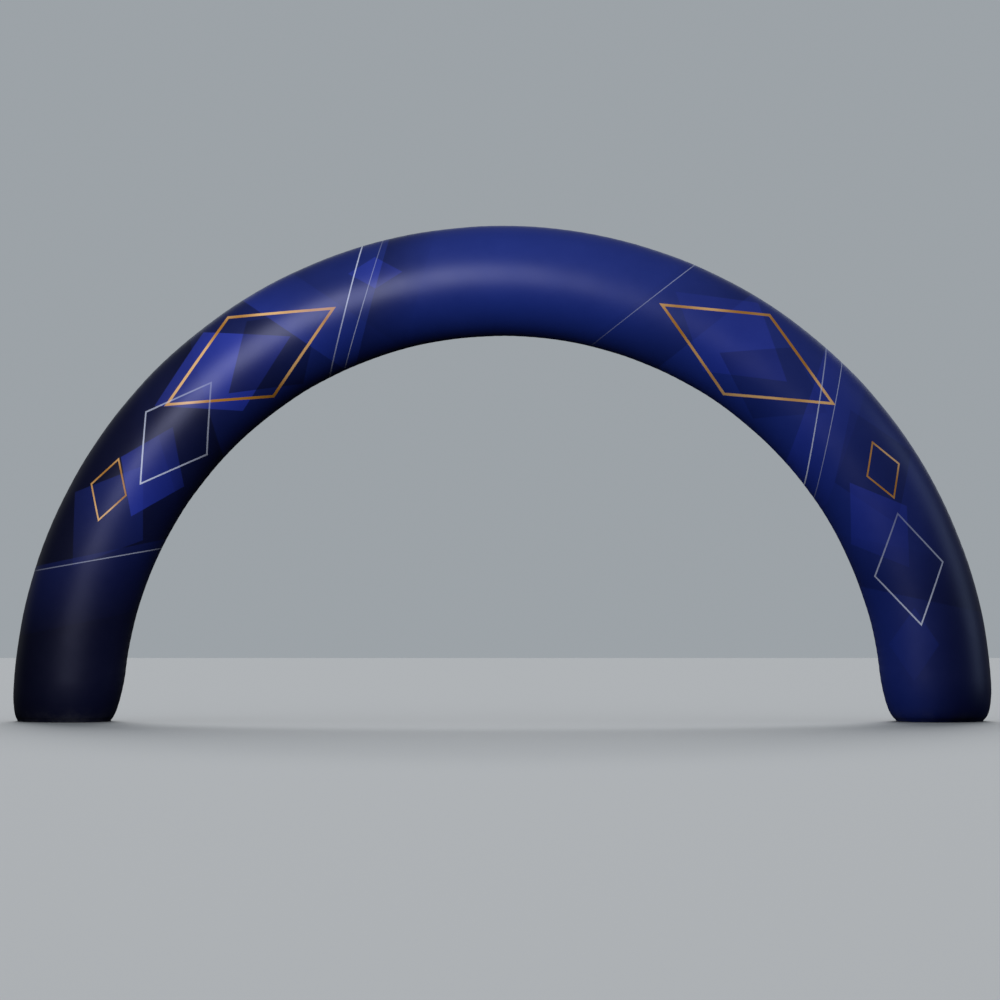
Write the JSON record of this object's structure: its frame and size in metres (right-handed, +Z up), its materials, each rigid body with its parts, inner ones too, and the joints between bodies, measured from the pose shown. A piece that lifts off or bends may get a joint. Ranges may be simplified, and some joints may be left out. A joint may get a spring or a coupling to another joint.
{
  "type": "inflatable arch",
  "caption": "Half-round inflatable event arch: an air-filled tube of printed cloth on flat base panels, for people to pass under.",
  "frame": {"origin": "on the ground, midway between the two feet", "axes": "+Z up, +X along the arch's width to the foot on the right as seen from the front, -Y towards the front"},
  "size_m": [7.9884, 0.9, 4.0436],
  "materials": {
    "printed_cloth": "satin coated polyester cloth, printed in navy and royal blue",
    "base_cloth": "matt heavy coated cloth, near black"
  },
  "bodies": {
    "root": {"arch_tube": "printed_cloth", "base_panel_left": "base_cloth", "base_panel_right": "base_cloth"}
  },
  "joints": []
}
